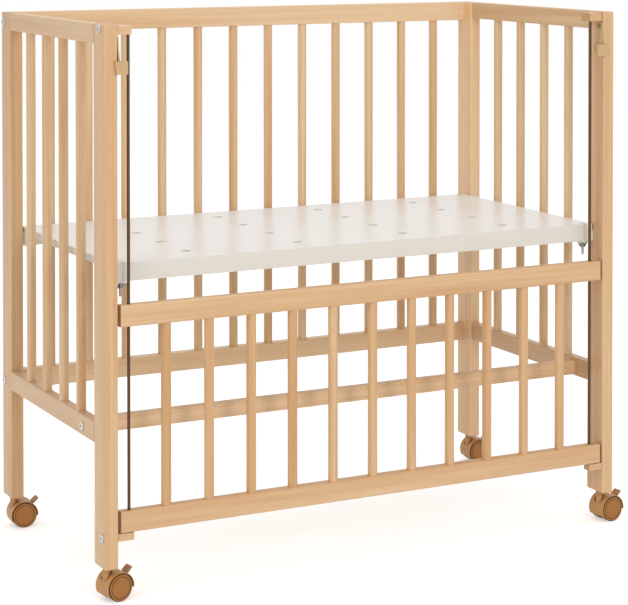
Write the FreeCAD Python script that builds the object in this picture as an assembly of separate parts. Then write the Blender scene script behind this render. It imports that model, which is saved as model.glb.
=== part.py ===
import FreeCAD, Part
import math
import os

# Bedside sleeper crib: wooden frame, drop side on guide rods, slotted-in deck, four castors.
# Millimetres.  The floor is z = 0; x = 0, y = 0 is the middle of the four posts while the
# pieces are made, and every piece is moved by PLAN_SHIFT when it is written, so that the
# origin ends up under the middle of the whole crib.  +X runs along the crib, -Y is the
# open bedside front.

Vec = FreeCAD.Vector
ALONG_X, ALONG_Y, UP = Vec(1, 0, 0), Vec(0, 1, 0), Vec(0, 0, 1)

# Frame
LENGTH = 950.0                 # over the outer faces of the posts
DEPTH = 490.0
FOOT = 54.0                    # underside of the posts above the floor
POST_HEIGHT = 844.0
POST_X, POST_Y = 22.0, 47.0    # post section
EDGE = 2.0                     # rounding of the long wooden edges
FOOT_CHAMFER = 1.5
END_RAIL_THICK = 18.0
END_TOP_RAIL = (FOOT + 813.0, FOOT + 844.0)
END_LOW_RAIL = (FOOT + 189.0, FOOT + 222.0)
BACK_RAIL_THICK = 22.0
BACK_TOP_RAIL = (FOOT + 809.0, FOOT + 844.0)
BACK_LOW_RAIL = (FOOT + 185.0, FOOT + 218.0)
STRETCHER_Y = (-156.0, -136.0)
STRETCHER_Z = (FOOT + 192.0, FOOT + 216.0)
DOWEL_R = 8.0
SOCKET_DEPTH = 15.0
GLUE_GAP = 0.05                # radial room round anything glued, screwed or pressed in
END_DOWELS = 4
END_PITCH = 79.0
BACK_DOWELS = 12

# Drop side and its guides
SIDE_HALF_LENGTH = 448.2
SIDE_THICK = 19.0
SIDE_TOP_RAIL = (FOOT + 375.0, FOOT + 409.0)
SIDE_LOW_RAIL = (FOOT + 54.5, FOOT + 88.0)
SIDE_EDGE = 3.0
SIDE_DOWELS = 11
SIDE_PITCH = 73.8
ROD_R = 2.5
ROD_X, ROD_Y = 431.7, -235.5
ROD_SLIDE_GAP = 0.3
ROD_Z = (FOOT + 45.0, FOOT + 839.0)
HIGH_BLOCK = (25.0, (-242.0, -212.0), (FOOT + 828.0, FOOT + 842.0))    # reach from the post, y, z
LOW_BLOCK = (27.0, (-245.0, -227.0), (FOOT + 43.0, FOOT + 54.2))
HIGH_SCREW = (-222.0, FOOT + 836.5)                      # y, z
LOW_SCREW = (-232.0, FOOT + 47.8)

# Catches
CATCH_PIVOT = (-236.0, FOOT + 819.5)                     # y, z
CATCH_HALF_WIDTH = 8.0
CATCH_PAD_FRONT = -251.3
CATCH_LEDGE_BACK = -238.0
CATCH_Z = (FOOT + 767.0, FOOT + 787.3)
CATCH_REACH = 15.5             # ledge beyond the inner face of the post

# Deck
DECK_HALF_X, DECK_HALF_Y = 450.3, 218.5
DECK_TOP = FOOT + 470.8
BOARD_THICK = 12.0
BATTEN_WIDTH, BATTEN_HEIGHT = 30.0, 17.2
VENT_R = 8.0
VENT_X = (-301.5, -100.5, 100.5, 301.5)
VENT_Y = (-158.0, -52.7, 52.7, 158.0)
DECK_BOLT_X, DECK_BOLT_Y = 435.0, 209.0
DECK_BOLT_LENGTH = 54.0        # from the top of the deck
DECK_BOLT_R = 2.0
DECK_HEAD_R, DECK_HEAD_THICK = 6.5, 2.2
BRACKET_THICK = 2.5
BRACKET_WIDTH = 18.0
BRACKET_FOOT = 30.0
BRACKET_RISE = 24.0

# Fasteners
HEAD_R, HEAD_THICK = 7.5, 2.0
BOLT_R = 3.0
BOLT_HOLE_R = 3.3
HEX_FLATS, HEX_DEPTH = 4.0, 1.6
RAIL_BOLT = 60.0
BLOCK_SCREW = 38.0
NUT_R, NUT_LENGTH, NUT_X = 5.0, 14.0, 425.0
PIN_R, PIN_LENGTH = 4.0, 38.0

# Castors, measured from the stem; before each is swivelled its wheels trail towards +X
STEM_X, STEM_Y = 464.0, 221.5
STEM_R = 4.0
SLEEVE_R, SLEEVE_DEPTH = 5.5, 35.0
FLANGE_R, FLANGE_THICK = 8.0, 1.2
AXLE_OFFSET = 15.5
WHEEL_R = 21.75
CORE_HALF = 6.5
WHEEL_GAP = 0.5
WHEEL_WIDTH = 11.5
FACE_R, FACE_STEP = 20.4, 1.8   # outer face of a wheel, stepped in from its tread
HOOD = (22.8, 23.9)            # inner and outer radius
HOOD_ARC = (-6.0, 209.0)       # degrees up from +X
SLOT_ARC = (27.0, 60.0)        # lever's slot in the hood
BOSS_R, BOSS_ROOM = 6.2, 9.0    # boss for the stem, and the round opening in the hood for it
BOSS_TOP = FOOT - 1.5
AXLE_R = 3.0
RUNNING_GAP = 0.3
LEVER_PIVOT = (6.0, 36.0)      # x from the axle, height
LEVER_HALF, PADDLE_HALF = 4.2, 7.5
HEADING = {"front_left": 10.0, "front_right": 5.4, "back_left": -4.8, "back_right": -1.5}

PLAN_SHIFT = Vec(-15.26, 3.15, 0.0)

POST_IN_X = LENGTH / 2 - POST_X          # inner faces of the posts
POST_IN_Y = DEPTH / 2 - POST_Y
RAIL_MID_X = LENGTH / 2 - END_RAIL_THICK / 2
BACK_MID_Y = DEPTH / 2 - BACK_RAIL_THICK / 2
STRETCHER_MID = (sum(STRETCHER_Y) / 2, sum(STRETCHER_Z) / 2)


# Shapes

def box(x, y, z):
    return Part.makeBox(x[1] - x[0], y[1] - y[0], z[1] - z[0], Vec(x[0], y[0], z[0]))


def cylinder(radius, start, length, axis):
    return Part.makeCylinder(radius, length, start, axis)


def upright(radius, x, y, z):
    return cylinder(radius, Vec(x, y, z[0]), z[1] - z[0], UP)


def prism_y(points, y):
    """A plate with an (x, z) outline, between two values of y."""
    wire = Part.makePolygon([Vec(px, y[0], pz) for px, pz in points + points[:1]])
    return Part.Face(wire).extrude(Vec(0, y[1] - y[0], 0))


def prism_x(points, x):
    """A plate with a (y, z) outline, between two values of x."""
    wire = Part.makePolygon([Vec(x[0], py, pz) for py, pz in points + points[:1]])
    return Part.Face(wire).extrude(Vec(x[1] - x[0], 0, 0))


def rounded(shape, axis, radius):
    edges = [e for e in shape.Edges if abs(e.tangentAt(e.FirstParameter).dot(axis)) > 0.99]
    return shape.makeFillet(radius, edges)


def mirror_x(shape):
    return shape.mirror(Vec(0, 0, 0), ALONG_X)


def mirror_y(shape):
    return shape.mirror(Vec(0, 0, 0), ALONG_Y)


def both_ends(shape):
    return [shape, mirror_x(shape)]


def four_corners(shape):
    return both_ends(shape) + both_ends(mirror_y(shape))


def spread(count, half_span):
    """Middles of equal gaps' worth of dowels between -half_span and +half_span."""
    gap = (2 * half_span - count * 2 * DOWEL_R) / (count + 1)
    pitch = gap + 2 * DOWEL_R
    return [-half_span + gap + DOWEL_R + pitch * i for i in range(count)]


parts = {}


def put(name, *solids):
    parts[name] = Part.makeCompound(list(solids)) if len(solids) > 1 else solids[0]


# Fasteners that several pieces share

END_RAIL_PIN_Z = [END_TOP_RAIL[0] + 7.5, END_TOP_RAIL[0] + 23.5,
                  END_LOW_RAIL[0] + 8.5, END_LOW_RAIL[0] + 24.5]
END_PIN_IN_POST = 18.0
BACK_PIN_Z = [BACK_TOP_RAIL[0] + 6.0, BACK_LOW_RAIL[0] + 5.5]
BACK_PIN_IN_POST = 13.0
BACK_BOLT_Z = [sum(BACK_TOP_RAIL) / 2, sum(BACK_LOW_RAIL) / 2]
BRACKET_SCREW_Z = [DECK_TOP - 18.5, DECK_TOP - 9.5]
BRACKET_SCREW_R, BRACKET_SCREW_LENGTH = 1.75, 15.0
PIVOT_SCREW_R, PIVOT_SCREW_DEPTH = 2.0, 14.0


def end_rail_pins(radius, spare=0.0):
    """Glue dowels between the left back post and the ends of the two left end rails."""
    start = POST_IN_Y + END_PIN_IN_POST + spare
    return [cylinder(radius, Vec(-RAIL_MID_X, start, z), PIN_LENGTH + 2 * spare, -ALONG_Y)
            for z in END_RAIL_PIN_Z]


def back_rail_pins(radius, spare=0.0):
    """Glue dowels between the left back post and the two back rails."""
    start = -POST_IN_X - BACK_PIN_IN_POST - spare
    return [cylinder(radius, Vec(start, BACK_MID_Y, z), PIN_LENGTH + 2 * spare, ALONG_X)
            for z in BACK_PIN_Z]


def flat_head_bolt(length, y, z):
    """Flat round head on the outer face of a left post, shank towards +X, hexagon socket."""
    face = -LENGTH / 2
    head = cylinder(HEAD_R, Vec(face - HEAD_THICK, y, z), HEAD_THICK, ALONG_X)
    rim = [e for e in head.Edges if abs(e.BoundBox.XMin - (face - HEAD_THICK)) < 1e-6
           and e.BoundBox.YLength > HEAD_R]
    head = head.makeChamfer(0.7, rim)
    shank = cylinder(BOLT_R, Vec(face, y, z), length, ALONG_X)
    reach = HEX_FLATS / math.sqrt(3)
    hexagon = [(y + reach * math.cos(math.radians(60 * k)), z + reach * math.sin(math.radians(60 * k)))
               for k in range(6)]
    socket = prism_x(hexagon, (face - HEAD_THICK - 1.0, face - HEAD_THICK + HEX_DEPTH))
    return head.fuse(shank).cut(socket)


def through_hole(y, z, x_from, length, radius):
    return cylinder(radius, Vec(x_from, y, z), length, ALONG_X)


# Posts

def blank_post(y):
    """Left post between two values of y: rounded edges and top, chamfered foot."""
    z = (FOOT, FOOT + POST_HEIGHT)
    post = rounded(box((-LENGTH / 2, -POST_IN_X), y, z), UP, EDGE)
    top = [e for e in post.Edges if e.BoundBox.ZMin > z[1] - 1e-6]
    post = post.makeFillet(EDGE * 0.75, top)
    foot = [e for e in post.Edges if e.BoundBox.ZMax < z[0] + 1e-6]
    return post.makeChamfer(FOOT_CHAMFER, foot)


def sleeve_bore(y):
    return upright(SLEEVE_R + GLUE_GAP, -STEM_X, y, (FOOT, FOOT + SLEEVE_DEPTH))


def bracket_pilots(y):
    return [cylinder(BRACKET_SCREW_R + GLUE_GAP, Vec(-POST_IN_X, y, z),
                     BRACKET_SCREW_LENGTH, -ALONG_X) for z in BRACKET_SCREW_Z]


front_post_cuts = [mirror_y(s) for s in end_rail_pins(PIN_R + GLUE_GAP, 0.2)]
front_post_cuts += [through_hole(*HIGH_SCREW, -LENGTH / 2, POST_X, BOLT_HOLE_R)]
front_post_cuts += [through_hole(*LOW_SCREW, -LENGTH / 2, POST_X, BOLT_HOLE_R)]
front_post_cuts += [cylinder(PIVOT_SCREW_R + GLUE_GAP, Vec(-POST_IN_X, *CATCH_PIVOT),
                             PIVOT_SCREW_DEPTH, -ALONG_X)]
front_post_cuts += [sleeve_bore(-STEM_Y)] + bracket_pilots(-DECK_BOLT_Y)
front_post = blank_post((-DEPTH / 2, -POST_IN_Y)).cut(front_post_cuts)

back_post_cuts = end_rail_pins(PIN_R + GLUE_GAP, 0.2) + back_rail_pins(PIN_R + GLUE_GAP, 0.2)
back_post_cuts += [through_hole(BACK_MID_Y, z, -LENGTH / 2, POST_X, BOLT_HOLE_R)
                   for z in BACK_BOLT_Z]
back_post_cuts += [sleeve_bore(STEM_Y)] + bracket_pilots(DECK_BOLT_Y)
back_post = blank_post((POST_IN_Y, DEPTH / 2)).cut(back_post_cuts)

put("post_front_left", front_post)
put("post_front_right", mirror_x(front_post))
put("post_back_left", back_post)
put("post_back_right", mirror_x(back_post))

# End rails and end dowels

end_pins = end_rail_pins(PIN_R + GLUE_GAP, 0.2)
end_pins += [mirror_y(s) for s in end_pins]
end_dowel_y = [END_PITCH * (i - (END_DOWELS - 1) / 2) for i in range(END_DOWELS)]
end_dowel_z = (END_LOW_RAIL[1] - SOCKET_DEPTH, END_TOP_RAIL[0] + SOCKET_DEPTH)


def end_rail(z, extra_cuts):
    rail = rounded(box((-LENGTH / 2, -LENGTH / 2 + END_RAIL_THICK), (-POST_IN_Y, POST_IN_Y), z),
                   ALONG_Y, EDGE)
    sockets = [upright(DOWEL_R + GLUE_GAP, -RAIL_MID_X, y, (end_dowel_z[0] - 0.2, end_dowel_z[1] + 0.2))
               for y in end_dowel_y]
    return rail.cut(end_pins + sockets + extra_cuts)


stretcher_hole = through_hole(*STRETCHER_MID, -LENGTH / 2, END_RAIL_THICK, BOLT_HOLE_R)
top_rail = end_rail(END_TOP_RAIL, [])
low_rail = end_rail(END_LOW_RAIL, [stretcher_hole])
put("end_top_rail_left", top_rail)
put("end_top_rail_right", mirror_x(top_rail))
put("end_low_rail_left", low_rail)
put("end_low_rail_right", mirror_x(low_rail))

left_dowels = [upright(DOWEL_R, -RAIL_MID_X, y, end_dowel_z) for y in end_dowel_y]
put("end_dowels", *(left_dowels + [mirror_x(s) for s in left_dowels]))

# Back rails, back dowels and front stretcher

back_dowel_x = spread(BACK_DOWELS, POST_IN_X)
back_dowel_z = (BACK_LOW_RAIL[1] - SOCKET_DEPTH, BACK_TOP_RAIL[0] + SOCKET_DEPTH)
bolt_in_rail = RAIL_BOLT + 0.5


def nut_pocket(y_from, y_to, z):
    return cylinder(NUT_R + GLUE_GAP, Vec(-NUT_X, y_from, z), abs(y_to - y_from), ALONG_Y)


def back_rail(z, bolt_z):
    rail = rounded(box((-POST_IN_X, POST_IN_X), (DEPTH / 2 - BACK_RAIL_THICK, DEPTH / 2), z),
                   ALONG_X, EDGE)
    sockets = [upright(DOWEL_R + GLUE_GAP, x, BACK_MID_Y, (back_dowel_z[0] - 0.2, back_dowel_z[1] + 0.2))
               for x in back_dowel_x]
    end_cuts = [through_hole(BACK_MID_Y, bolt_z, -LENGTH / 2, bolt_in_rail, BOLT_HOLE_R),
                nut_pocket(BACK_MID_Y - NUT_LENGTH / 2, DEPTH / 2 + 1.0, bolt_z)]
    end_cuts += back_rail_pins(PIN_R + GLUE_GAP, 0.2)
    return rail.cut(sockets + end_cuts + [mirror_x(s) for s in end_cuts])


put("back_top_rail", back_rail(BACK_TOP_RAIL, BACK_BOLT_Z[0]))
put("back_low_rail", back_rail(BACK_LOW_RAIL, BACK_BOLT_Z[1]))
put("back_dowels", *[upright(DOWEL_R, x, BACK_MID_Y, back_dowel_z) for x in back_dowel_x])

stretcher_half = LENGTH / 2 - END_RAIL_THICK
stretcher = rounded(box((-stretcher_half, stretcher_half), STRETCHER_Y, STRETCHER_Z), ALONG_X, EDGE)
stretcher_cuts = [through_hole(*STRETCHER_MID, -LENGTH / 2, bolt_in_rail, BOLT_HOLE_R),
                  nut_pocket(STRETCHER_MID[0] - NUT_LENGTH / 2, STRETCHER_Y[1] + 1.0,
                             STRETCHER_MID[1])]
put("front_stretcher", stretcher.cut(stretcher_cuts + [mirror_x(s) for s in stretcher_cuts]))

# Glue dowels, rail bolts and barrel nuts

glue_dowels = end_rail_pins(PIN_R)
glue_dowels += [mirror_y(s) for s in glue_dowels] + back_rail_pins(PIN_R)
put("joint_dowels", *(glue_dowels + [mirror_x(s) for s in glue_dowels]))

bolt_places = [(BACK_MID_Y, z) for z in BACK_BOLT_Z] + [STRETCHER_MID]
rail_bolts = [flat_head_bolt(RAIL_BOLT, y, z) for y, z in bolt_places]
put("rail_bolts", *(rail_bolts + [mirror_x(s) for s in rail_bolts]))


def barrel_nut(y, z):
    barrel = cylinder(NUT_R, Vec(-NUT_X, y - NUT_LENGTH / 2, z), NUT_LENGTH, ALONG_Y)
    thread = through_hole(y, z, -NUT_X - 2 * NUT_R, 4 * NUT_R, BOLT_R + GLUE_GAP)
    slot = box((-NUT_X - 2 * NUT_R, -NUT_X + 2 * NUT_R),
               (y + NUT_LENGTH / 2 - 1.2, y + NUT_LENGTH / 2 + 1.0), (z - 0.6, z + 0.6))
    return barrel.cut([thread, slot])


nuts = [barrel_nut(y, z) for y, z in bolt_places]
put("barrel_nuts", *(nuts + [mirror_x(s) for s in nuts]))

# Drop side

side_y = (-DEPTH / 2, -DEPTH / 2 + SIDE_THICK)
side_dowel_x = [SIDE_PITCH * (i - (SIDE_DOWELS - 1) / 2) for i in range(SIDE_DOWELS)]
side_dowel_z = (SIDE_LOW_RAIL[1] - SOCKET_DEPTH, SIDE_TOP_RAIL[0] + SOCKET_DEPTH)


def side_rail(z):
    rail = rounded(box((-SIDE_HALF_LENGTH, SIDE_HALF_LENGTH), side_y, z), ALONG_X, SIDE_EDGE)
    cuts = [upright(DOWEL_R + GLUE_GAP, x, ROD_Y, (side_dowel_z[0] - 0.2, side_dowel_z[1] + 0.2))
            for x in side_dowel_x]
    cuts += [upright(ROD_R + ROD_SLIDE_GAP, x, ROD_Y, z) for x in (-ROD_X, ROD_X)]
    return rail.cut(cuts)


put("drop_side_top_rail", side_rail(SIDE_TOP_RAIL))
put("drop_side_low_rail", side_rail(SIDE_LOW_RAIL))
put("drop_side_dowels", *[upright(DOWEL_R, x, ROD_Y, side_dowel_z) for x in side_dowel_x])

# Guide rods and the blocks that hold them

put("guide_rods", *both_ends(upright(ROD_R, -ROD_X, ROD_Y, ROD_Z)))


def guide_block(size, rod_z, screw):
    reach, y, z = size
    block = rounded(box((-POST_IN_X, -POST_IN_X + reach), y, z), UP, EDGE)
    rod_hole = upright(ROD_R + GLUE_GAP, -ROD_X, ROD_Y, rod_z)
    screw_hole = through_hole(*screw, -LENGTH / 2, BLOCK_SCREW + 0.5, BOLT_R + GLUE_GAP)
    return block.cut([rod_hole, screw_hole])


high_block = guide_block(HIGH_BLOCK, (HIGH_BLOCK[2][0] - 1.0, ROD_Z[1] + 0.2), HIGH_SCREW)
low_block = guide_block(LOW_BLOCK, (ROD_Z[0] - 0.2, LOW_BLOCK[2][1] + 1.0), LOW_SCREW)
put("guide_block_high_left", high_block)
put("guide_block_high_right", mirror_x(high_block))
put("guide_block_low_left", low_block)
put("guide_block_low_right", mirror_x(low_block))

block_screws = [flat_head_bolt(BLOCK_SCREW, *place) for place in (HIGH_SCREW, LOW_SCREW)]
put("block_screws", *(block_screws + [mirror_x(s) for s in block_screws]))

# Catches: a cranked plastic lever hung on a screw in the inner face of each front post.  A pad
# in front of the post stops it, and the ledge behind the pad carries the raised top rail.

def catch():
    inner = -POST_IN_X
    pivot_y, pivot_z = CATCH_PIVOT
    low, high = CATCH_Z
    strip_top = HIGH_BLOCK[2][0] - RUNNING_GAP
    strip_foot = high - 7.0
    strip = [(inner + 0.3, strip_top), (inner + 2.3, strip_top), (inner + 2.5, pivot_z - 9.0),
             (inner + 4.5, high), (inner + 4.5, strip_foot), (inner + 2.1, strip_foot),
             (inner + 2.1, high), (inner + 0.5, pivot_z - 9.0)]
    leaf = prism_y(strip, (pivot_y - CATCH_HALF_WIDTH, pivot_y + CATCH_HALF_WIDTH))
    outline = box((inner - 1.0, inner + 6.0),
                  (pivot_y - CATCH_HALF_WIDTH, pivot_y + CATCH_HALF_WIDTH), (strip_foot, pivot_z))
    outline = outline.fuse(cylinder(CATCH_HALF_WIDTH, Vec(inner - 1.0, pivot_y, pivot_z), 7.0, ALONG_X))
    leaf = leaf.common(outline)
    pad_back = -DEPTH / 2 - RUNNING_GAP
    pad_outline = [(inner + CATCH_REACH, low), (inner + CATCH_REACH, high), (inner - 5.5, high),
                   (inner - 5.5, high - 5.0), (inner - 3.4, low + 1.0), (inner - 2.4, low)]
    pad = prism_y(pad_outline, (CATCH_PAD_FRONT, pad_back))
    pad_edges = [e for e in pad.Edges if e.BoundBox.YMax < CATCH_PAD_FRONT + 1e-6]
    pad = pad.makeFillet(1.0, pad_edges)
    ledge = prism_x([(pad_back, low), (pad_back, high), (CATCH_LEDGE_BACK, high),
                     (CATCH_LEDGE_BACK, low + 10.0)], (inner + 2.1, inner + CATCH_REACH))
    hole = through_hole(pivot_y, pivot_z, inner - 1.0, 6.0, PIVOT_SCREW_R + RUNNING_GAP)
    return leaf.fuse([pad, ledge]).removeSplitter().cut(hole)


def pivot_screw():
    head_from = -POST_IN_X + 2.6
    shank = cylinder(PIVOT_SCREW_R, Vec(head_from, *CATCH_PIVOT), PIVOT_SCREW_DEPTH + 2.4, -ALONG_X)
    head = cylinder(4.0, Vec(head_from, *CATCH_PIVOT), 1.4, ALONG_X)
    y, z = CATCH_PIVOT
    slot = box((head_from + 0.6, head_from + 2.0), (y - 5.0, y + 5.0), (z - 0.5, z + 0.5))
    return head.fuse(shank).cut(slot)


left_catch = catch()
put("catch_left", left_catch)
put("catch_right", mirror_x(left_catch))
put("catch_pivot_screws", *both_ends(pivot_screw()))

# Deck: white board on two battens, held at each corner by a bolt, a bracket and a wing nut

board_z = (DECK_TOP - BOARD_THICK, DECK_TOP)
batten_z = (board_z[0] - BATTEN_HEIGHT, board_z[0])
corner_holes = four_corners(upright(DECK_BOLT_R + RUNNING_GAP, -DECK_BOLT_X, -DECK_BOLT_Y,
                                    (batten_z[0] - 5.0, DECK_TOP + 1.0)))
vents = [upright(VENT_R, x, y, board_z) for x in VENT_X for y in VENT_Y]
board = box((-DECK_HALF_X, DECK_HALF_X), (-DECK_HALF_Y, DECK_HALF_Y), board_z)
head_top = DECK_TOP - GLUE_GAP
head_seats = four_corners(upright(DECK_HEAD_R + RUNNING_GAP, -DECK_BOLT_X, -DECK_BOLT_Y,
                                  (head_top - DECK_HEAD_THICK, DECK_TOP + 1.0)))
board = rounded(board, UP, 3.0).cut(vents + corner_holes + head_seats)
put("deck_board", board)

batten = box((-DECK_HALF_X, DECK_HALF_X), (-DECK_HALF_Y, -DECK_HALF_Y + BATTEN_WIDTH), batten_z)
batten = batten.cut(corner_holes)
put("deck_batten_front", batten)
put("deck_batten_back", mirror_y(batten))


def bracket():
    x_post = -POST_IN_X
    y = (-DECK_BOLT_Y - BRACKET_WIDTH / 2, -DECK_BOLT_Y + BRACKET_WIDTH / 2)
    low = batten_z[0] - BRACKET_THICK
    outline = [(x_post, low), (x_post + BRACKET_FOOT, low), (x_post + BRACKET_FOOT, batten_z[0]),
               (x_post + BRACKET_THICK, batten_z[0]), (x_post + BRACKET_THICK, low + BRACKET_RISE),
               (x_post, low + BRACKET_RISE)]
    cuts = [corner_holes[0]]
    for z in BRACKET_SCREW_Z:
        cuts.append(cylinder(BRACKET_SCREW_R + 0.2, Vec(x_post - 1.0, -DECK_BOLT_Y, z), 5.0, ALONG_X))
        cuts.append(Part.makeCone(BRACKET_SCREW_R + 0.2, 3.6, 1.8,
                                  Vec(x_post + BRACKET_THICK - 1.8, -DECK_BOLT_Y, z), ALONG_X))
    return prism_y(outline, y).cut(cuts)


def bracket_screw(z):
    top = -POST_IN_X + BRACKET_THICK - 0.1
    head = Part.makeCone(3.4, BRACKET_SCREW_R, 1.6, Vec(top, -DECK_BOLT_Y, z), -ALONG_X)
    shank = cylinder(BRACKET_SCREW_R, Vec(top - 1.6, -DECK_BOLT_Y, z), BRACKET_SCREW_LENGTH - 0.5,
                     -ALONG_X)
    return head.fuse(shank)


def deck_bolt():
    """Slotted head let in flush with the board, shank down through batten and bracket."""
    x, y = -DECK_BOLT_X, -DECK_BOLT_Y
    head = upright(DECK_HEAD_R, x, y, (head_top - DECK_HEAD_THICK, head_top))
    slot = box((x - DECK_HEAD_R - 1.0, x + DECK_HEAD_R + 1.0), (y - 0.7, y + 0.7),
               (head_top - 1.2, head_top + 1.0))
    shank = upright(DECK_BOLT_R, x, y, (DECK_TOP - DECK_BOLT_LENGTH, head_top - DECK_HEAD_THICK))
    return head.cut(slot).fuse(shank)


put("deck_brackets", *four_corners(bracket()))
put("bracket_screws", *[s for z in BRACKET_SCREW_Z for s in four_corners(bracket_screw(z))])
put("deck_bolts", *four_corners(deck_bolt()))


def wing_nut(x, y):
    """The neck bears on the bracket; two thin wings rise in a V from the foot of the hub."""
    top = batten_z[0] - BRACKET_THICK
    hub = Part.makeCone(4.2, 3.1, 9.3, Vec(x, y, top - 9.3), UP)
    wings = []
    for side in (-1, 1):
        outline = [(x + side * 2.6, top - 9.1), (x + side * 4.9, top - 8.8), (x + side * 9.2, top - 2.4),
                   (x + side * 9.3, top - 0.9), (x + side * 8.4, top - RUNNING_GAP),
                   (x + side * 7.3, top - 0.8), (x + side * 3.9, top - 5.8), (x + side * 2.6, top - 6.2)]
        wings.append(prism_y(outline, (y - 1.1, y + 1.1)))
    thread = upright(DECK_BOLT_R + RUNNING_GAP / 2, x, y, (top - 12.0, top + 1.0))
    return hub.fuse(wings).cut(thread)


CORNERS = {"front_left": (-1, -1), "front_right": (1, -1), "back_left": (-1, 1), "back_right": (1, 1)}
for corner, (side_x, side_sign_y) in CORNERS.items():
    put("wing_nut_" + corner, wing_nut(side_x * DECK_BOLT_X, side_sign_y * DECK_BOLT_Y))

# Castors.  Each is made round the point x = 0, y = 0 under its stem, turned to its heading
# about that stem, and then moved.

def sleeve():
    body = upright(SLEEVE_R, 0, 0, (FOOT, FOOT + SLEEVE_DEPTH - 0.5))
    flange = upright(FLANGE_R, 0, 0, (FOOT - FLANGE_THICK, FOOT))
    bore = upright(STEM_R + GLUE_GAP, 0, 0, (FOOT - 2.0, FOOT + SLEEVE_DEPTH - 3.0))
    return body.fuse(flange).cut(bore)


STEM_FOOT = 28.0
STEM_BEAD = (30.0, 31.5)       # ring that snaps into the body


def stem():
    pin = upright(STEM_R, 0, 0, (STEM_FOOT, FOOT + SLEEVE_DEPTH - 4.0))
    return pin.fuse(upright(STEM_R + 0.5, 0, 0, STEM_BEAD))


def across(radius, x, z, half):
    """Round bar along y, centred on y = 0; x is measured from the axle."""
    return cylinder(radius, Vec(AXLE_OFFSET + x, -half, z), 2 * half, ALONG_Y)


def from_axle(points):
    return [(AXLE_OFFSET + x, z) for x, z in points]


def plate(points, half):
    """Plate with an (x, z) outline measured from the axle, centred on y = 0."""
    return prism_y(from_axle(points), (-half, half))


def sector(start, stop):
    """Wedge outline about the axle, wider than the hood, in steps of less than 60 degrees."""
    steps = int((stop - start) / 50) + 1
    angles = [math.radians(start + (stop - start) * k / steps) for k in range(steps + 1)]
    return [(0, WHEEL_R)] + [(40.0 * math.cos(a), WHEEL_R + 40.0 * math.sin(a)) for a in angles]


def castor_body():
    """Core between the wheels, boss for the stem, and the hood over both wheels."""
    half = CORE_HALF + WHEEL_GAP + WHEEL_WIDTH
    rim_mid = sum(HOOD) / 2
    web_outline = [(-15, 12), (-8, 14), (8, 13), (11, 24), (11, 30), (9.6, 47), (-19, 47), (-19, 16)]
    web = plate(web_outline, CORE_HALF).common(across(rim_mid, 0, WHEEL_R, CORE_HALF + 1.0))
    hub = across(7.0, 0, WHEEL_R, CORE_HALF)
    boss = upright(BOSS_R, 0, 0, (25.0, BOSS_TOP))
    shell = across(HOOD[1], 0, WHEEL_R, half).cut(across(HOOD[0], 0, WHEEL_R, half))
    hood = shell.common(plate(sector(*HOOD_ARC), half)).cut(upright(BOSS_ROOM, 0, 0, (33.0, 60.0)))
    body = web.fuse([hub, boss, hood]).removeSplitter()
    lever_slot = plate(sector(*SLOT_ARC), PADDLE_HALF + 0.7).cut(across(20.0, 0, WHEEL_R, half))
    pivot_x, pivot_z = LEVER_PIVOT
    cavity = LEVER_HALF + 0.4
    cuts = [upright(STEM_R + RUNNING_GAP, 0, 0, (STEM_FOOT - RUNNING_GAP, 60.0)),
            upright(STEM_R + 0.5 + RUNNING_GAP, 0, 0,
                    (STEM_BEAD[0] - RUNNING_GAP, STEM_BEAD[1] + RUNNING_GAP)),
            across(AXLE_R + GLUE_GAP, 0, WHEEL_R, 30.0), lever_slot,
            across(4.2, pivot_x, pivot_z, cavity), across(2.3, pivot_x, pivot_z, CORE_HALF - 0.7),
            plate([(pivot_x, 32.6), (13.6, 30.3), (24, 33.5), (24, 46), (17, 43.5), (pivot_x, 39.2)],
                  cavity),
            plate([(1.0, 33.2), (pivot_x, 32.6), (pivot_x, 39.2), (1.0, 40.6)], cavity),
            plate([(-3.2, 33.6), (1.6, 33.6), (1.6, 40.6), (-3.2, 40.6)], CORE_HALF + 1.0)]
    return body.cut(cuts)


def axle():
    half = CORE_HALF + WHEEL_GAP + 9.0
    beads = [cylinder(AXLE_R + 0.5, Vec(AXLE_OFFSET, y, WHEEL_R), 1.2, ALONG_Y)
             for y in (-half + 0.8, half - 2.0)]
    return across(AXLE_R, 0, WHEEL_R, half).fuse(beads)


def wheel_front():
    """Disc on the -Y side: closed outer face, hollow inner face, blind bore with a snap groove."""
    inner = -CORE_HALF - WHEEL_GAP
    outer = inner - WHEEL_WIDTH

    def disc(radius, y, length):
        return cylinder(radius, Vec(AXLE_OFFSET, y, WHEEL_R), length, ALONG_Y)

    wheel = disc(WHEEL_R, outer + FACE_STEP, WHEEL_WIDTH - FACE_STEP).fuse(disc(FACE_R, outer, WHEEL_WIDTH))
    cup = disc(18.5, inner - 7.5, 7.5).cut(disc(7.0, inner - 7.5, 7.5))
    ring = disc(17.5, outer, 0.7).cut(disc(16.3, outer, 0.7))
    return wheel.cut([cup, ring, disc(AXLE_R + RUNNING_GAP, inner - 9.5, 9.5),
                      disc(AXLE_R + 0.9, inner - 8.6, 2.0)])


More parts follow.
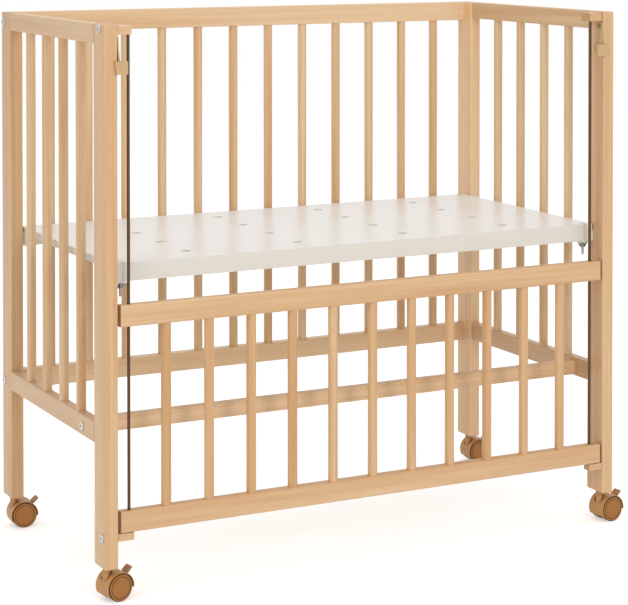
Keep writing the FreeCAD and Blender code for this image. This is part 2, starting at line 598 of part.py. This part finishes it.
def brake_lever():
    """Paddle through the slot in the hood; its cross bar is drawn out to the wheels' inner rims."""
    pivot_x, pivot_z = LEVER_PIVOT
    arm = plate([(pivot_x, 33.4), (14.5, 33.9), (18.9, 38.1), (16.3, 41.3), (pivot_x, 38.4)], LEVER_HALF)
    paddle = plate([(18.9, 38.1), (27.5, 46.7), (25.7, 48.8), (16.3, 41.3)], PADDLE_HALF)
    bar_x = pivot_x - 7.0
    link = plate([(bar_x, pivot_z - 1.5), (pivot_x, pivot_z - 2.4), (pivot_x, pivot_z + 2.4),
                  (bar_x, pivot_z + 1.5)], LEVER_HALF)
    rounds = [across(3.2, pivot_x, pivot_z, LEVER_HALF), across(2.0, pivot_x, pivot_z, CORE_HALF - 0.9),
              across(1.5, bar_x, pivot_z, 12.0), link]
    return arm.fuse([paddle] + rounds).removeSplitter()


def placed(shape, corner):
    """A copy under one corner's stem, turned about the stem to that castor's heading."""
    copy = shape.copy()
    copy.rotate(Vec(0, 0, 0), UP, HEADING[corner])
    side_x, side_y = CORNERS[corner]
    copy.translate(Vec(side_x * STEM_X, side_y * STEM_Y, 0))
    return copy


put("castor_sleeves", *[placed(sleeve(), corner) for corner in CORNERS])
put("castor_stems", *[placed(stem(), corner) for corner in CORNERS])
front_wheel = wheel_front()
castor_pieces = {"body": castor_body(), "axle": axle(), "wheel_front": front_wheel,
                 "wheel_back": mirror_y(front_wheel), "brake": brake_lever()}
for corner in CORNERS:
    for piece, shape in castor_pieces.items():
        put("castor_" + corner + "_" + piece, placed(shape, corner))

# Writing

os.makedirs("parts", exist_ok=True)
for name, shape in parts.items():
    shape.translate(PLAN_SHIFT)
    shape.exportStep("parts/" + name + ".step")
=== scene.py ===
import math

import bmesh
import bpy
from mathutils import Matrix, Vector


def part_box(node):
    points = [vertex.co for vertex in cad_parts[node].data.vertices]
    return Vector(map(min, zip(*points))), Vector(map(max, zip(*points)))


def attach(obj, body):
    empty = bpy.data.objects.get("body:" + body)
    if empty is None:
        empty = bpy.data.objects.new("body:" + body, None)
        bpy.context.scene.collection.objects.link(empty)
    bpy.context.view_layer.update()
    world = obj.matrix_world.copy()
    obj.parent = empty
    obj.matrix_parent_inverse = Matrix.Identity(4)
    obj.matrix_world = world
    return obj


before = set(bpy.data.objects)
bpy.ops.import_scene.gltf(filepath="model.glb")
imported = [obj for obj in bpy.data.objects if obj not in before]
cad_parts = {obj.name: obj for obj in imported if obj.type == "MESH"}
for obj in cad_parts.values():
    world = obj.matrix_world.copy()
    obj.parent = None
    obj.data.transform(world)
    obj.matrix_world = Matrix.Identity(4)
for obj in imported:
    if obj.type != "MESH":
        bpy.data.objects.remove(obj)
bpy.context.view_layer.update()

MM = 0.001


# Posts
# Four uprights of planed beech, 22 mm by 47 mm, under a clear satin lacquer that gives the pale
# wood a soft, warm shine.  The end rails are glued between them, and everything else is bolted
# or screwed to them.

def linear(hex_colour):
    """An sRGB hex colour as Blender's linear RGBA."""
    channels = [int(hex_colour[i:i + 2], 16) / 255 for i in (1, 3, 5)]
    return [c / 12.92 if c <= 0.04045 else ((c + 0.055) / 1.055) ** 2.4 for c in channels] + [1.0]


def add_node(tree, kind, sockets=None, **settings):
    """Adds a node; sockets maps an input's name or number to a value or to an output to link."""
    node = tree.nodes.new(kind)
    for key, value in settings.items():
        setattr(node, key, value)
    for key, value in (sockets or {}).items():
        if isinstance(value, bpy.types.NodeSocket):
            tree.links.new(value, node.inputs[key])
        else:
            node.inputs[key].default_value = value
    return node


def new_material(name, **shader_sockets):
    """A material with a Principled shader; returns the material, its tree and the shader."""
    material = bpy.data.materials.new(name)
    material.use_nodes = True
    tree = material.node_tree
    shader = tree.nodes["Principled BSDF"]
    for key, value in shader_sockets.items():
        shader.inputs[key.replace("_", " ")].default_value = value
    return material, tree, shader


def dress(material, *node_names):
    """Puts the material on every slot of the named nodes."""
    for name in node_names:
        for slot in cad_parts[name].material_slots:
            slot.material = material


# A colour Mix node's sockets share their names, so they are reached by number.
MIX_FACTOR, MIX_FIRST, MIX_SECOND = 0, 6, 7
MIX_RESULT = 2

ALONG_X, ALONG_Y, UPRIGHT = 0, 1, 2     # the axis that the fibres follow

# Sizes of the wood's figure, across and along the grain.  Real ray flecks are 0.3 mm wide;
# here they are 1 mm, so that they show.
STREAK_MM = (9, 500)
PLANK_MM = (55, 900)
FLECK_MM = (1.0, 5.0)
# Noise values between which a mark fades in, and its full strength.
FIGURE_FADE = (0.72, 1.28)
FLECK_FADE, FLECK_STRENGTH = (0.6, 0.72), 0.35
END_GRAIN_FADE, END_GRAIN_STRENGTH = (0.8, 0.98), 0.45
FLECK_BUMP = 0.12
RELIEF_DEPTH = 0.1 * MM
SATIN_LACQUER, TURNED_LACQUER, NO_LACQUER = 0.38, 0.34, 0.7     # roughness


def beech(name, grain, pale, tan, fleck, finish=SATIN_LACQUER):
    """Beech: faint growth streaks and short dark ray flecks along the grain."""
    material, tree, shader = new_material(name, Roughness=finish, IOR=1.5, Coat_Weight=0.12,
                                          Coat_Roughness=0.3)
    where = add_node(tree, "ShaderNodeTexCoord")

    def along_grain(size_mm):
        across_mm, along_mm = size_mm
        scale = [1 / (across_mm * MM)] * 3
        scale[grain] = 1 / (along_mm * MM)
        return add_node(tree, "ShaderNodeMapping", {
            0: where.outputs["Object"], "Scale": scale}).outputs[0]

    streak = add_node(tree, "ShaderNodeTexNoise", {
        "Vector": along_grain(STREAK_MM), "Scale": 1.0, "Detail": 5.0, "Roughness": 0.6,
        "Distortion": 0.8})
    plank = add_node(tree, "ShaderNodeTexNoise", {
        "Vector": along_grain(PLANK_MM), "Scale": 1.0, "Detail": 2.0})
    ray = add_node(tree, "ShaderNodeTexNoise", {
        "Vector": along_grain(FLECK_MM), "Scale": 1.0, "Detail": 1.0})
    figure = add_node(tree, "ShaderNodeMath", {0: streak.outputs[0], 1: plank.outputs[0]},
                      operation="ADD")
    tone = add_node(tree, "ShaderNodeMapRange", {
        "Value": figure.outputs[0], "From Min": FIGURE_FADE[0], "From Max": FIGURE_FADE[1]})
    wood = add_node(tree, "ShaderNodeMix", {
        MIX_FACTOR: tone.outputs[0], MIX_FIRST: linear(tan), MIX_SECOND: linear(pale)},
        data_type="RGBA")
    dash = add_node(tree, "ShaderNodeMapRange", {
        "Value": ray.outputs[0], "From Min": FLECK_FADE[0], "From Max": FLECK_FADE[1],
        "To Max": FLECK_STRENGTH})
    flecked = add_node(tree, "ShaderNodeMix", {
        MIX_FACTOR: dash.outputs[0], MIX_FIRST: wood.outputs[MIX_RESULT],
        MIX_SECOND: linear(fleck)}, data_type="RGBA")
    # End grain drinks more lacquer and looks darker where the fibres are cut across.
    facing = add_node(tree, "ShaderNodeNewGeometry")
    fibre = [0.0, 0.0, 0.0]
    fibre[grain] = 1.0
    cut = add_node(tree, "ShaderNodeVectorMath", {0: facing.outputs["Normal"], 1: fibre},
                   operation="DOT_PRODUCT")
    cut_size = add_node(tree, "ShaderNodeMath", {0: cut.outputs["Value"]},
                        operation="ABSOLUTE")
    end = add_node(tree, "ShaderNodeMapRange", {
        "Value": cut_size.outputs[0], "From Min": END_GRAIN_FADE[0],
        "From Max": END_GRAIN_FADE[1], "To Max": END_GRAIN_STRENGTH})
    coloured = add_node(tree, "ShaderNodeMix", {
        MIX_FACTOR: end.outputs[0], MIX_FIRST: flecked.outputs[MIX_RESULT],
        MIX_SECOND: linear(fleck)}, data_type="RGBA")
    tree.links.new(coloured.outputs[MIX_RESULT], shader.inputs["Base Color"])
    gloss = add_node(tree, "ShaderNodeMapRange", {
        "Value": streak.outputs[0], "To Min": finish - 0.06, "To Max": finish + 0.1})
    tree.links.new(gloss.outputs[0], shader.inputs["Roughness"])
    relief = add_node(tree, "ShaderNodeBump", {
        "Height": ray.outputs[0], "Strength": FLECK_BUMP, "Distance": RELIEF_DEPTH})
    tree.links.new(relief.outputs[0], shader.inputs["Normal"])
    return material


post_beech = beech("Lacquered beech, posts", UPRIGHT, "#E4C196", "#D1A473", "#AE8050")
dress(post_beech, "post_front_left", "post_front_right")
# Each post is sawn from its own plank, and the two at the back differ most in the photograph.
tan_post_beech = beech("Lacquered beech, darker plank", UPRIGHT, "#DAB388", "#C49560", "#A27443")
dress(tan_post_beech, "post_back_left")
pale_post_beech = beech("Lacquered beech, paler plank", UPRIGHT, "#EFCDA2", "#E0B380", "#BE8C58")
dress(pale_post_beech, "post_back_right")


# End rails, back rails and front stretcher
# The same beech, with the grain along each rail.  The end rails are dowelled and glued; the
# back rails and the stretcher are knock-down joints with a bolt and a barrel nut.

end_rail_beech = beech("Lacquered beech, end rails", ALONG_Y, "#DFBE95", "#CCA273", "#AC8052")
dress(end_rail_beech, "end_top_rail_left", "end_top_rail_right", "end_low_rail_left",
      "end_low_rail_right")
long_rail_beech = beech("Lacquered beech, long rails", ALONG_X, "#E9CAA2", "#D8AE7F", "#B68858")
dress(long_rail_beech, "back_top_rail", "back_low_rail", "front_stretcher")


# Dowels of the ends and the back
# Turned beech rods, 16 mm thick, glued into blind holes in the rails.  The lathe leaves them
# smoother than the planed wood, so they shine a little more.

dowel_beech = beech("Lacquered beech, turned dowels", UPRIGHT, "#EACBA3", "#D0A472",
                    "#AC8050", TURNED_LACQUER)
dress(dowel_beech, "end_dowels", "back_dowels")


# Glue dowels
# Beech pins, hidden in glue between the end rails and the posts.  They are never lacquered
# and look dry.

bare_beech = beech("Bare beech pins", ALONG_Y, "#E2C7A5", "#D4B38A", "#B08A62", NO_LACQUER)
dress(bare_beech, "joint_dowels")


# Rail bolts, block screws and barrel nuts
# Zinc-plated steel: flat round heads with a hexagon socket on the outside of the posts, and
# barrel nuts in pockets bored from the hidden faces.  The plating is bright, in faint patches.

PLATING_PATCH_MM = 1.6
PLATING_ROUGHNESS = 0.32


def plated_steel(name, bright, dull, patch_mm=PLATING_PATCH_MM, roughness=PLATING_ROUGHNESS):
    """A thin finish on steel: metal with soft patches, the duller ones also rougher."""
    material, tree, shader = new_material(name, Metallic=1.0, Roughness=roughness)
    where = add_node(tree, "ShaderNodeTexCoord")
    patch = add_node(tree, "ShaderNodeTexNoise", {
        "Vector": where.outputs["Object"], "Scale": 1 / (patch_mm * MM), "Detail": 3.0})
    shade = add_node(tree, "ShaderNodeMix", {
        MIX_FACTOR: patch.outputs[0], MIX_FIRST: linear(dull), MIX_SECOND: linear(bright)},
        data_type="RGBA")
    tree.links.new(shade.outputs[MIX_RESULT], shader.inputs["Base Color"])
    gloss = add_node(tree, "ShaderNodeMapRange", {
        "Value": patch.outputs[0], "To Min": roughness + 0.1, "To Max": roughness - 0.06})
    tree.links.new(gloss.outputs[0], shader.inputs["Roughness"])
    return material


bolt_zinc = plated_steel("Zinc-plated steel, bolts", "#D9D8D2", "#A9A8A2")
dress(bolt_zinc, "rail_bolts", "block_screws", "barrel_nuts")


# Drop side
# Two beech rails joined by eleven dowels, glued and lacquered like the ends.  It slides on the
# guide rods and is shown down, where the low blocks stop it.

side_rail_beech = beech("Lacquered beech, drop side rails", ALONG_X, "#E3C196", "#D1A271",
                        "#B08150")
dress(side_rail_beech, "drop_side_top_rail", "drop_side_low_rail")
side_dowel_beech = beech("Lacquered beech, drop side dowels", UPRIGHT, "#E6C296", "#CB9A66",
                         "#A67948", TURNED_LACQUER)
dress(side_dowel_beech, "drop_side_dowels")


# Guide rods
# Drawn steel rods, 5 mm thick, with a brown chemical finish and a light film of oil.  They
# show as dark lines with one narrow bright line each.

DRAW_LINES_PER_METRE = (2000.0, 2000.0, 30.0)    # half a millimetre wide, 33 mm long
rod_steel, rod_tree, rod_shader = new_material("Browned drawn steel", Metallic=0.9,
                                               Roughness=0.3)
rod_where = add_node(rod_tree, "ShaderNodeTexCoord")
rod_lines = add_node(rod_tree, "ShaderNodeMapping", {
    0: rod_where.outputs["Object"], "Scale": DRAW_LINES_PER_METRE})
rod_wear = add_node(rod_tree, "ShaderNodeTexNoise", {
    "Vector": rod_lines.outputs[0], "Scale": 1.0, "Detail": 3.0})
rod_colour = add_node(rod_tree, "ShaderNodeMix", {
    MIX_FACTOR: rod_wear.outputs[0], MIX_FIRST: linear("#4A3826"),
    MIX_SECOND: linear("#6B5640")}, data_type="RGBA")
rod_tree.links.new(rod_colour.outputs[MIX_RESULT], rod_shader.inputs["Base Color"])
dress(rod_steel, "guide_rods")


# Guide blocks
# Small beech blocks, sawn and lacquered like the rails and screwed to the posts.  They hold the
# ends of the guide rods.

block_beech = beech("Lacquered beech, guide blocks", ALONG_X, "#E0BF94", "#CEA272", "#AC7F50")
dress(block_beech, "guide_block_high_left", "guide_block_high_right", "guide_block_low_left",
      "guide_block_low_right")


# Catches
# Moulded nylon, a beige close to the wood, with the faint matt texture of a sparked mould.
# Each hangs on a screw in the post, and its pad is pulled forward to free the side.

FLOW_MM = 14            # slow changes of tone, where the melt flowed
SPARK_MM = 0.7          # the mould's texture; a real one is about 0.2 mm
SPARK_BUMP = 0.08
GLOW_DEPTH = 2 * MM
# Painted shade: gaps up to this wide are darkened, the more as the share of open air around a
# point falls.
SHADE_REACH = 3 * MM
SHADE_FADE = (0.45, 0.95)


def moulded(name, colour, shade, roughness, subsurface=0.0, gap_shade=None):
    """Moulded plastic: nearly even colour, with a fine sparked texture.

    The last argument is the colour of the shade painted into narrow gaps, for a piece that has
    any.
    """
    material, tree, shader = new_material(name, Roughness=roughness, IOR=1.5,
                                          Subsurface_Weight=subsurface,
                                          Subsurface_Scale=GLOW_DEPTH,
                                          Specular_IOR_Level=0.3)
    where = add_node(tree, "ShaderNodeTexCoord")
    flow = add_node(tree, "ShaderNodeTexNoise", {
        "Vector": where.outputs["Object"], "Scale": 1 / (FLOW_MM * MM), "Detail": 2.0})
    spark = add_node(tree, "ShaderNodeTexNoise", {
        "Vector": where.outputs["Object"], "Scale": 1 / (SPARK_MM * MM), "Detail": 2.0})
    tone = add_node(tree, "ShaderNodeMix", {
        MIX_FACTOR: flow.outputs[0], MIX_FIRST: linear(shade), MIX_SECOND: linear(colour)},
        data_type="RGBA")
    surface = tone.outputs[MIX_RESULT]
    if gap_shade:
        # Painted shade: ambient occlusion mixes a dark colour into narrow gaps and crevices.
        open_air = add_node(tree, "ShaderNodeAmbientOcclusion", {"Distance": SHADE_REACH},
                            samples=8)
        unshaded = add_node(tree, "ShaderNodeMapRange", {
            "Value": open_air.outputs["AO"], "From Min": SHADE_FADE[0],
            "From Max": SHADE_FADE[1]})
        shaded_gaps = add_node(tree, "ShaderNodeMix", {
            MIX_FACTOR: unshaded.outputs[0], MIX_FIRST: linear(gap_shade), MIX_SECOND: surface},
            data_type="RGBA")
        surface = shaded_gaps.outputs[MIX_RESULT]
    tree.links.new(surface, shader.inputs["Base Color"])
    gloss = add_node(tree, "ShaderNodeMapRange", {
        "Value": flow.outputs[0], "To Min": roughness - 0.05, "To Max": roughness + 0.07})
    tree.links.new(gloss.outputs[0], shader.inputs["Roughness"])
    relief = add_node(tree, "ShaderNodeBump", {
        "Height": spark.outputs[0], "Strength": SPARK_BUMP, "Distance": RELIEF_DEPTH})
    tree.links.new(relief.outputs[0], shader.inputs["Normal"])
    return material


catch_nylon = moulded("Beige moulded nylon", "#D3B285", "#C4A274", 0.45, subsurface=0.05)
dress(catch_nylon, "catch_left", "catch_right")
pivot_steel = plated_steel("Browned steel, pivot screws", "#A08C74", "#7C6A54")
dress(pivot_steel, "catch_pivot_screws")


# Deck
# Chipboard with a white melamine face and white edging, on two white battens.  Melamine is
# hard and slightly glossy, with a very fine pearl texture pressed into it.

CLOUD_MM = 120
PEARL_MM = 1.5
PEARL_BUMP = 0.06
FACE_ROUGHNESS = (0.26, 0.36)
melamine, deck_tree, deck_shader = new_material("White melamine", Roughness=0.3, IOR=1.52)
deck_where = add_node(deck_tree, "ShaderNodeTexCoord")
cloud = add_node(deck_tree, "ShaderNodeTexNoise", {
    "Vector": deck_where.outputs["Object"], "Scale": 1 / (CLOUD_MM * MM), "Detail": 2.0})
white = add_node(deck_tree, "ShaderNodeMix", {
    MIX_FACTOR: cloud.outputs[0], MIX_FIRST: linear("#E9E6DF"),
    MIX_SECOND: linear("#F2F0EB")}, data_type="RGBA")
# Faces that stand upright, the cut sides and the battens' sides, are a little creamier and darker
# than the flat faces.
deck_facing = add_node(deck_tree, "ShaderNodeNewGeometry")
deck_normal = add_node(deck_tree, "ShaderNodeSeparateXYZ", {0: deck_facing.outputs["Normal"]})
flatness = add_node(deck_tree, "ShaderNodeMath", {0: deck_normal.outputs["Z"]},
                    operation="ABSOLUTE")
upright_cream = add_node(deck_tree, "ShaderNodeMix", {
    MIX_FACTOR: flatness.outputs[0], MIX_FIRST: linear("#DFDACF"),
    MIX_SECOND: white.outputs[MIX_RESULT]}, data_type="RGBA")
deck_tree.links.new(upright_cream.outputs[MIX_RESULT], deck_shader.inputs["Base Color"])
pearl = add_node(deck_tree, "ShaderNodeTexVoronoi", {
    "Vector": deck_where.outputs["Object"], "Scale": 1 / (PEARL_MM * MM)})
pressed = add_node(deck_tree, "ShaderNodeBump", {
    "Height": pearl.outputs[0], "Strength": PEARL_BUMP, "Distance": RELIEF_DEPTH})
deck_tree.links.new(pressed.outputs[0], deck_shader.inputs["Normal"])
sheen = add_node(deck_tree, "ShaderNodeMapRange", {
    "Value": cloud.outputs[0], "To Min": FACE_ROUGHNESS[0], "To Max": FACE_ROUGHNESS[1]})
deck_tree.links.new(sheen.outputs[0], deck_shader.inputs["Roughness"])
dress(melamine, "deck_board", "deck_batten_front", "deck_batten_back")


# Deck brackets, bolts and wing nuts
# Pressed zinc-plated angles screwed to the posts.  A slotted bolt let in flush with the deck
# comes down through board, batten and bracket, and a wing nut closes it below: a zinc-plated
# casting, greyer and rougher than the pressed sheet.

bracket_zinc = plated_steel("Zinc-plated pressed sheet", "#E2DFD6", "#BDB9AE", 2.5, 0.4)
dress(bracket_zinc, "deck_brackets", "bracket_screws", "deck_bolts")
wing_zinc = plated_steel("Zinc-plated casting", "#A7A8A2", "#73746F", 1.2, 0.45)
CORNERS = ("front_left", "front_right", "back_left", "back_right")
dress(wing_zinc, *("wing_nut_" + corner for corner in CORNERS))

THREAD_PITCH = 0.7 * MM
THREAD_ROOT, THREAD_CREST = 1.95 * MM, 2.3 * MM     # radii
THREAD_STEPS = 16           # points in one turn
THREAD_FADE_STEPS = 8       # points over which the ridge rises at each end
RIDGE_FOOT, RIDGE_TOP = 0.45, 0.08      # half widths of the ridge, in pitches
THREAD_GAP = 0.3 * MM       # between the thread and the wing nut


def thread_ridge(name, x, y, low, high):
    """The rolled thread on the tail of a deck bolt, as one ridge wound round the shank."""
    turns = (high - low) / THREAD_PITCH - 1
    count = int(turns * THREAD_STEPS)
    mesh = bmesh.new()
    rows = []
    for k in range(count + 1):
        angle = 2 * math.pi * k / THREAD_STEPS
        height = low + THREAD_PITCH * (0.5 + k / THREAD_STEPS)
        taper = min(1.0, k / THREAD_FADE_STEPS, (count - k) / THREAD_FADE_STEPS)
        crest = THREAD_ROOT + (THREAD_CREST - THREAD_ROOT) * taper
        ring = [(THREAD_ROOT, -RIDGE_FOOT), (crest, -RIDGE_TOP), (crest, RIDGE_TOP),
                (THREAD_ROOT, RIDGE_FOOT)]
        rows.append([mesh.verts.new((x + r * math.cos(angle), y + r * math.sin(angle),
                                     height + dz * THREAD_PITCH)) for r, dz in ring])
    for lower, upper in zip(rows, rows[1:]):
        for i, j in ((0, 1), (1, 2), (2, 3), (3, 0)):
            mesh.faces.new((lower[i], upper[i], upper[j], lower[j]))
    mesh.faces.new(rows[0])
    mesh.faces.new(rows[-1][::-1])
    bmesh.ops.recalc_face_normals(mesh, faces=mesh.faces)
    data = bpy.data.meshes.new(name)
    mesh.to_mesh(data)
    mesh.free()
    ridge = bpy.data.objects.new(name, data)
    bpy.context.scene.collection.objects.link(ridge)
    data.materials.append(bracket_zinc)
    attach(ridge, "frame")


bolt_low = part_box("deck_bolts")[0]
for corner in CORNERS:
    nut_low, nut_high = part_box("wing_nut_" + corner)
    middle = (nut_low + nut_high) / 2
    thread_ridge("deck_bolt_thread_" + corner, middle.x, middle.y, bolt_low.z,
                 nut_low.z - THREAD_GAP)


# Castors
# Twin-wheel furniture castors in moulded nylon, tan brown with a satin surface and painted shade
# in the gaps: one hood over both wheels, swivelling on a steel stem that grips in a plastic
# sleeve in the post, with a paddle that works the brake.

# The dark brown given last to the hoods and the wheels is painted shade, laid into the narrow
# gaps between them.
hood_nylon = moulded("Tan brown nylon, castor hoods", "#CA9862", "#BB8952", 0.42,
                     gap_shade="#5E3A1C")
wheel_nylon = moulded("Tan brown nylon, castor wheels", "#AE773F", "#A06A33", 0.5,
                      gap_shade="#4E2E14")
lever_nylon = moulded("Tan brown nylon, brake paddles", "#BA8A62", "#A97850", 0.45)
sleeve_plastic = moulded("Brown polythene sleeves", "#8A6040", "#7A5234", 0.5)
axle_steel = plated_steel("Bright steel, castor pins", "#C8C8C6", "#A0A09E", 3.0, 0.25)
for corner in CORNERS:
    castor = "castor_" + corner
    dress(hood_nylon, castor + "_body")
    dress(wheel_nylon, castor + "_wheel_front", castor + "_wheel_back")
    dress(lever_nylon, castor + "_brake")
    dress(axle_steel, castor + "_axle")
dress(sleeve_plastic, "castor_sleeves")
dress(axle_steel, "castor_stems")


# Studio
# A plain white floor and soft lamps.  The floor glows a little to the camera and in
# reflections only, so that it fades into the white background and keeps the crib's shadow.

FLOOR_SIZE = 14.0
FLOOR_GLOW = 0.42
FULL_WHITE = (1, 1, 1, 1)
floor_mesh = bpy.data.meshes.new("studio_floor")
edge = FLOOR_SIZE / 2
floor_mesh.from_pydata([(-edge, -edge, 0), (edge, -edge, 0), (edge, edge, 0), (-edge, edge, 0)],
                       [], [(0, 1, 2, 3)])
floor = bpy.data.objects.new("studio_floor", floor_mesh)
bpy.context.scene.collection.objects.link(floor)
paper, paper_tree, paper_shader = new_material("White paper floor", Roughness=0.9,
                                               Base_Color=linear("#F4F4F2"),
                                               Emission_Color=FULL_WHITE)


def shown_only(tree):
    """1 for camera, mirror and glass rays, 0 for the rays that light the crib."""
    path = add_node(tree, "ShaderNodeLightPath")
    camera_or_mirror = add_node(tree, "ShaderNodeMath", {
        0: path.outputs["Is Camera Ray"], 1: path.outputs["Is Glossy Ray"]})
    shown = add_node(tree, "ShaderNodeMath", {
        0: camera_or_mirror.outputs[0], 1: path.outputs["Is Transmission Ray"]}, use_clamp=True)
    return shown.outputs[0]


paper_glow = add_node(paper_tree, "ShaderNodeMath", {0: shown_only(paper_tree), 1: FLOOR_GLOW},
                      operation="MULTIPLY")
paper_tree.links.new(paper_glow.outputs[0], paper_shader.inputs["Emission Strength"])
floor_mesh.materials.append(paper)


def soft_lamp(name, place, target, size, watts, colour="#FFFFFF"):
    """A square lamp at a place and aimed at a target, in metres."""
    lamp_data = bpy.data.lights.new(name, "AREA")
    lamp_data.shape = "SQUARE"
    lamp_data.size = size
    lamp_data.energy = watts
    lamp_data.color = linear(colour)[:3]
    lamp = bpy.data.objects.new(name, lamp_data)
    lamp.location = place
    lamp.rotation_euler = (Vector(target) - Vector(place)).to_track_quat("-Z", "Y").to_euler()
    bpy.context.scene.collection.objects.link(lamp)


CRIB_MIDDLE = (0, 0, 0.45)
BELOW_MIDDLE = (0, 0, 0.4)
soft_lamp("lamp_front", (0.0, -4.6, 2.3), CRIB_MIDDLE, 1.2, 55)
soft_lamp("lamp_left", (-4.0, -1.6, 2.2), CRIB_MIDDLE, 2.4, 28, "#FFF6EA")
soft_lamp("lamp_top", (0.3, 0.2, 4.2), BELOW_MIDDLE, 3.0, 30)

SKY_GLOW = 0.67
world = bpy.data.worlds.new("white_studio")
world.use_nodes = True
bpy.context.scene.world = world
sky = world.node_tree
white_sky = sky.nodes["Background"]
white_sky.inputs["Color"].default_value = FULL_WHITE
white_sky.inputs["Strength"].default_value = 1.0
soft_glow = add_node(sky, "ShaderNodeBackground", {
    "Color": linear("#F8F8FB"), "Strength": SKY_GLOW})
pick = add_node(sky, "ShaderNodeMixShader", {
    0: shown_only(sky), 1: soft_glow.outputs[0], 2: white_sky.outputs[0]})
sky.links.new(pick.outputs[0], sky.nodes["World Output"].inputs["Surface"])

bpy.context.scene.view_settings.view_transform = "Standard"


# Camera
# At the photograph's own place: a little above the crib's top, 3.6 m off and turned 27.5
# degrees, with the lens shifted down against the film so that the posts stay upright.

CAMERA_PLACE = (-1.6408, -3.1986, 1.0656)
DIP, TURN = 1.213, 27.469                   # degrees below level, and clockwise from above
FILM_WIDTH, FOCAL_LENGTH = 36.0, 117.99     # millimetres
SHIFT_ACROSS, SHIFT_UP = -0.0218, -0.5466   # in widths of the picture
FAR_LIMIT = 60.0

camera_data = bpy.data.cameras.new("photo_camera")
camera = bpy.data.objects.new("photo_camera", camera_data)
bpy.context.scene.collection.objects.link(camera)
camera.location = CAMERA_PLACE
camera.rotation_euler = (math.radians(90 - DIP), 0, math.radians(-TURN))
camera_data.sensor_width = FILM_WIDTH
camera_data.lens = FOCAL_LENGTH
camera_data.shift_x = SHIFT_ACROSS
camera_data.shift_y = SHIFT_UP
camera_data.clip_end = FAR_LIMIT
bpy.context.scene.camera = camera
